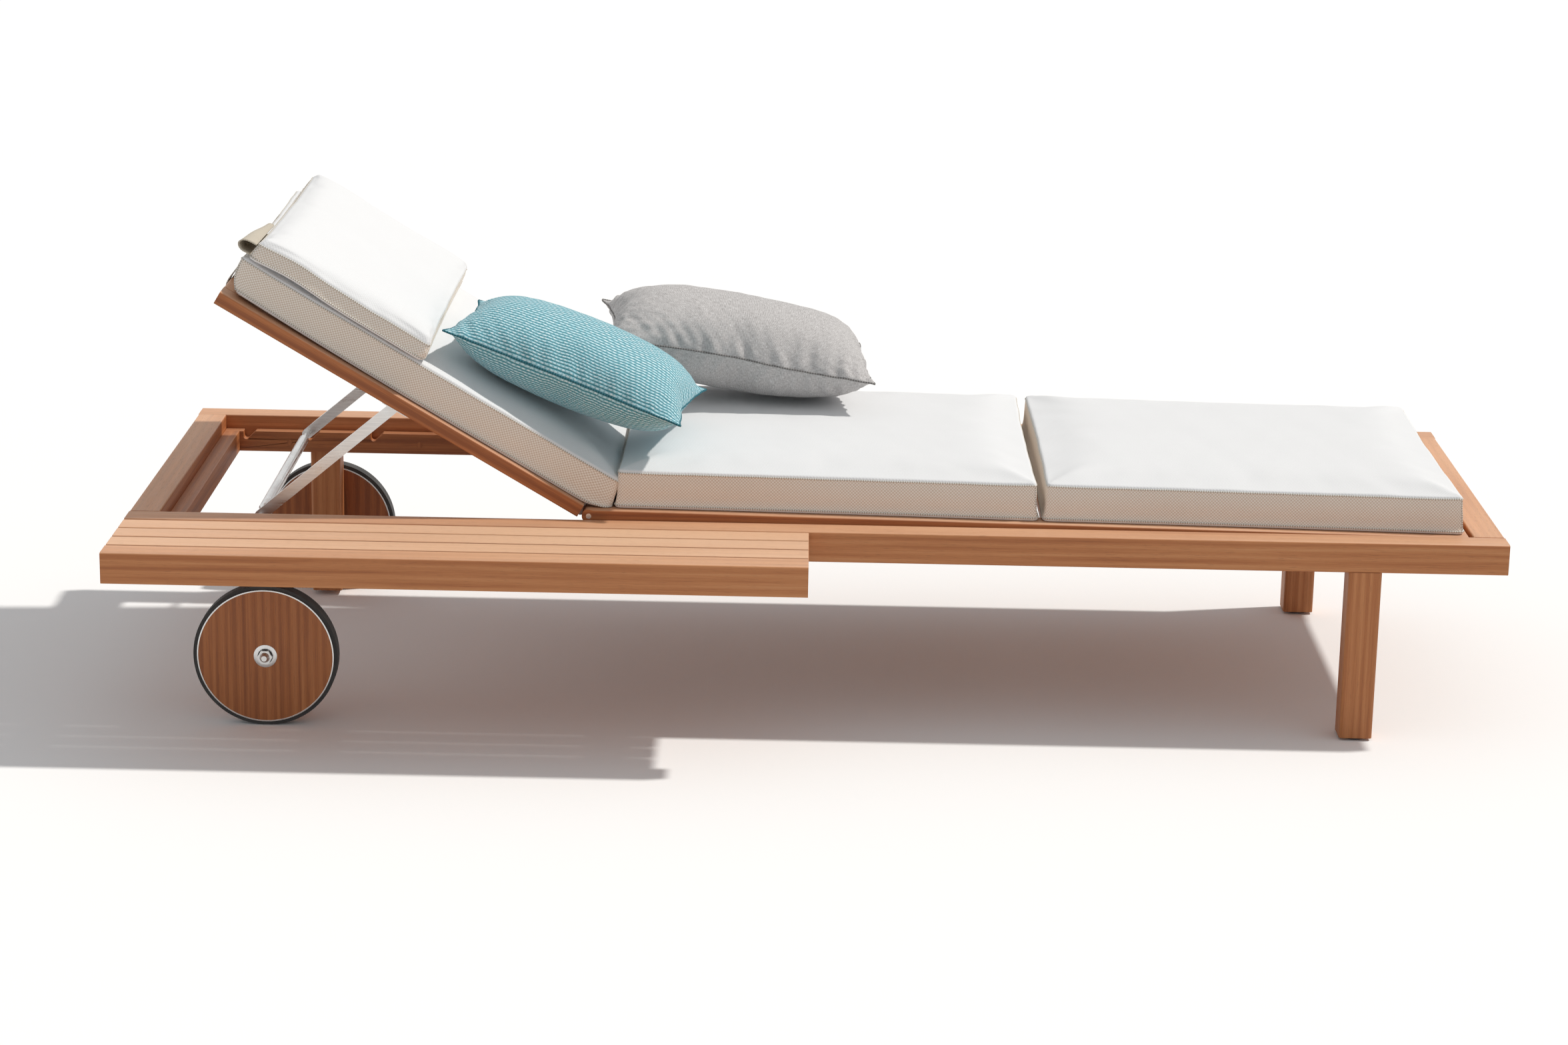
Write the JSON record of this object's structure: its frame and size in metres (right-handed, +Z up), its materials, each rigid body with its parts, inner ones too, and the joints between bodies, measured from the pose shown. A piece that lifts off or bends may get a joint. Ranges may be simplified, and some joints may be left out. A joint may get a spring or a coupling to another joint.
{
  "type": "sun lounger",
  "caption": "Slatted wooden sun lounger with a tilting back on a steel bail, a side shelf, head-end wheels and loose padded cushions.",
  "frame": {"origin": "on the floor, at the middle of the overall length and depth, with the back at its pictured angle", "axes": "+X from the head end to the foot end, +Y away from the side shelf, +Z up"},
  "size_m": [2, 0.9428, 0.7008],
  "materials": {
    "teak": "oiled teak, straight grain, satin",
    "stainless_steel": "brushed stainless steel",
    "tyre_rubber": "solid rubber, matt",
    "bush_plastic": "black nylon, matt",
    "cushion_fabric": "woven outdoor cloth, off-white",
    "webbing": "woven webbing, beige grey",
    "teal_fabric": "woven cloth, teal",
    "grey_fabric": "woven cloth, mid grey"
  },
  "bodies": {
    "frame": {"near_rail": "teak", "far_rail": "teak", "head_member": "teak", "foot_member": "teak", "near_batten": "teak", "far_batten": "teak", "end_battens": "teak", "near_head_leg": "teak", "far_head_leg": "teak", "near_foot_leg": "teak", "far_foot_leg": "teak", "shelf_slats": "teak", "shelf_edge_rail": "teak", "shelf_bearers": "teak", "hinge_beam": "teak", "near_deck_stile": "teak", "far_deck_stile": "teak", "seat_slats": "teak", "foot_slats": "teak", "hinge_bolts": "stainless_steel", "axles": "stainless_steel", "cap_nuts": "stainless_steel", "foot_glides": "bush_plastic", "seat_cushion": "cushion_fabric", "foot_cushion": "cushion_fabric", "grey_cushion": "grey_fabric"},
    "back": {"near_back_stile": "teak", "far_back_stile": "teak", "back_slat_1": "teak", "back_slat_2": "teak", "back_slat_3": "teak", "back_slat_4": "teak", "back_slat_5": "teak", "back_slat_6": "teak", "back_slat_7": "teak", "back_slat_8": "teak", "hinge_plates": "stainless_steel", "bail_brackets": "stainless_steel", "bail_pivots": "stainless_steel", "back_cushion": "cushion_fabric", "headrest_cushion": "cushion_fabric", "cushion_straps": "webbing", "teal_cushion": "teal_fabric"},
    "bail": {"near_bail_arm": "stainless_steel", "far_bail_arm": "stainless_steel", "bail_crossbar": "stainless_steel"},
    "near_wheel": {"near_wheel_disc": "teak", "near_tyre": "tyre_rubber", "near_wheel_bush": "bush_plastic"},
    "far_wheel": {"far_wheel_disc": "teak", "far_tyre": "tyre_rubber", "far_wheel_bush": "bush_plastic"}
  },
  "joints": [
    {"name": "back_tilt", "type": "hinge", "parent": "frame", "child": "back", "pos_m": [-0.331, 0.0736, 0.304], "axis": [0, 1, 0], "range_deg": [-30.35, 13.6]},
    {"name": "bail_swing", "type": "hinge", "parent": "back", "child": "bail", "pos_m": [-0.61273, 0.0736, 0.45506], "axis": [0, -1, 0], "range_deg": [-69.95, 31.4]},
    {"name": "near_wheel_spin", "type": "hinge", "parent": "frame", "child": "near_wheel", "pos_m": [-0.795, -0.2973, 0.105], "axis": [0, 1, 0], "continuous": true},
    {"name": "far_wheel_spin", "type": "hinge", "parent": "frame", "child": "far_wheel", "pos_m": [-0.795, 0.4445, 0.105], "axis": [0, 1, 0], "continuous": true}
  ],
  "couplings": [
    {"joint": "bail_swing", "follows": "back_tilt", "ratio": 2.3036}
  ]
}
